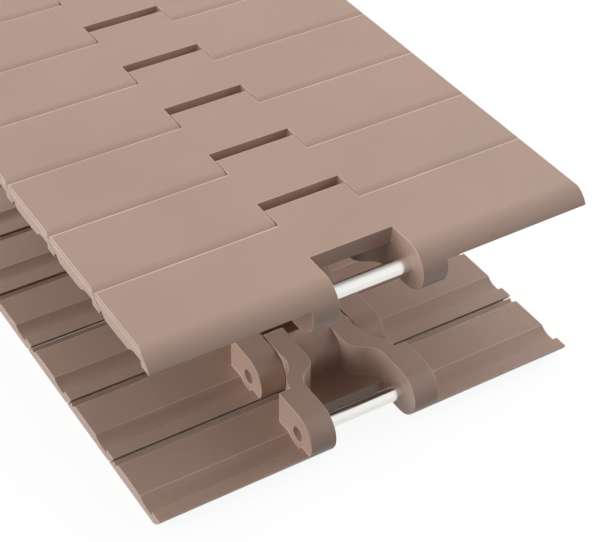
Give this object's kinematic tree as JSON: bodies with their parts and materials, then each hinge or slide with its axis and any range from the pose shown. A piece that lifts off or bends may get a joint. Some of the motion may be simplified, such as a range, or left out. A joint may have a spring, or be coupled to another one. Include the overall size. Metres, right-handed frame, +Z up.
{
  "type": "slat top chain",
  "caption": "Straight-running slat top chain: wide moulded slats hinged on steel pins, shown as two lengths, one face up and one turned over below it.",
  "frame": {"origin": "middle of the chain's length and width, on the ground that the turned-over length lies on", "axes": "+X across the chain, +Y along it from the fork end to the knuckle end, +Z up, away from the carrying face of the lower length"},
  "size_m": [0.1906, 0.2876, 0.086],
  "materials": {
    "slat_acetal": "moulded acetal, satin, pinkish beige-brown",
    "pin_steel": "polished stainless steel"
  },
  "bodies": {
    "middle": {"upper_slat_4": "slat_acetal", "upper_pin_4": "pin_steel", "lower_slat_4": "slat_acetal", "lower_pin_4": "pin_steel"},
    "upper_link_1": {"upper_slat_1": "slat_acetal", "upper_pin_1": "pin_steel"},
    "upper_link_2": {"upper_slat_2": "slat_acetal", "upper_pin_2": "pin_steel"},
    "upper_link_3": {"upper_slat_3": "slat_acetal", "upper_pin_3": "pin_steel"},
    "upper_link_5": {"upper_slat_5": "slat_acetal", "upper_pin_5": "pin_steel"},
    "upper_link_6": {"upper_slat_6": "slat_acetal", "upper_pin_6": "pin_steel"},
    "upper_link_7": {"upper_slat_7": "slat_acetal", "upper_pin_7": "pin_steel"},
    "lower_link_1": {"lower_slat_1": "slat_acetal", "lower_pin_1": "pin_steel"},
    "lower_link_2": {"lower_slat_2": "slat_acetal", "lower_pin_2": "pin_steel"},
    "lower_link_3": {"lower_slat_3": "slat_acetal", "lower_pin_3": "pin_steel"},
    "lower_link_5": {"lower_slat_5": "slat_acetal", "lower_pin_5": "pin_steel"},
    "lower_link_6": {"lower_slat_6": "slat_acetal", "lower_pin_6": "pin_steel"},
    "lower_link_7": {"lower_slat_7": "slat_acetal", "lower_pin_7": "pin_steel"}
  },
  "joints": [
    {"name": "upper_hinge_4_5", "type": "hinge", "parent": "middle", "child": "upper_link_5", "pos_m": [0, 0.01905, 0.0755], "axis": [-1, 0, 0], "range_deg": [-20, 18]},
    {"name": "upper_hinge_5_6", "type": "hinge", "parent": "upper_link_5", "child": "upper_link_6", "pos_m": [0, 0.05715, 0.0755], "axis": [-1, 0, 0], "range_deg": [-20, 25]},
    {"name": "upper_hinge_6_7", "type": "hinge", "parent": "upper_link_6", "child": "upper_link_7", "pos_m": [0, 0.09525, 0.0755], "axis": [-1, 0, 0], "range_deg": [-20, 34]},
    {"name": "upper_hinge_3_4", "type": "hinge", "parent": "middle", "child": "upper_link_3", "pos_m": [0, -0.01905, 0.0755], "axis": [1, 0, 0], "range_deg": [-20, 18]},
    {"name": "upper_hinge_2_3", "type": "hinge", "parent": "upper_link_3", "child": "upper_link_2", "pos_m": [0, -0.05715, 0.0755], "axis": [1, 0, 0], "range_deg": [-20, 25]},
    {"name": "upper_hinge_1_2", "type": "hinge", "parent": "upper_link_2", "child": "upper_link_1", "pos_m": [0, -0.09525, 0.0755], "axis": [1, 0, 0], "range_deg": [-20, 34]},
    {"name": "lower_hinge_4_5", "type": "hinge", "parent": "middle", "child": "lower_link_5", "pos_m": [0, 0.01905, 0.0105], "axis": [-1, 0, 0], "range_deg": [-18, 20]},
    {"name": "lower_hinge_5_6", "type": "hinge", "parent": "lower_link_5", "child": "lower_link_6", "pos_m": [0, 0.05715, 0.0105], "axis": [-1, 0, 0], "range_deg": [-25, 20]},
    {"name": "lower_hinge_6_7", "type": "hinge", "parent": "lower_link_6", "child": "lower_link_7", "pos_m": [0, 0.09525, 0.0105], "axis": [-1, 0, 0], "range_deg": [-34, 20]},
    {"name": "lower_hinge_3_4", "type": "hinge", "parent": "middle", "child": "lower_link_3", "pos_m": [0, -0.01905, 0.0105], "axis": [1, 0, 0], "range_deg": [-18, 20]},
    {"name": "lower_hinge_2_3", "type": "hinge", "parent": "lower_link_3", "child": "lower_link_2", "pos_m": [0, -0.05715, 0.0105], "axis": [1, 0, 0], "range_deg": [-25, 20]},
    {"name": "lower_hinge_1_2", "type": "hinge", "parent": "lower_link_2", "child": "lower_link_1", "pos_m": [0, -0.09525, 0.0105], "axis": [1, 0, 0], "range_deg": [-34, 20]}
  ]
}
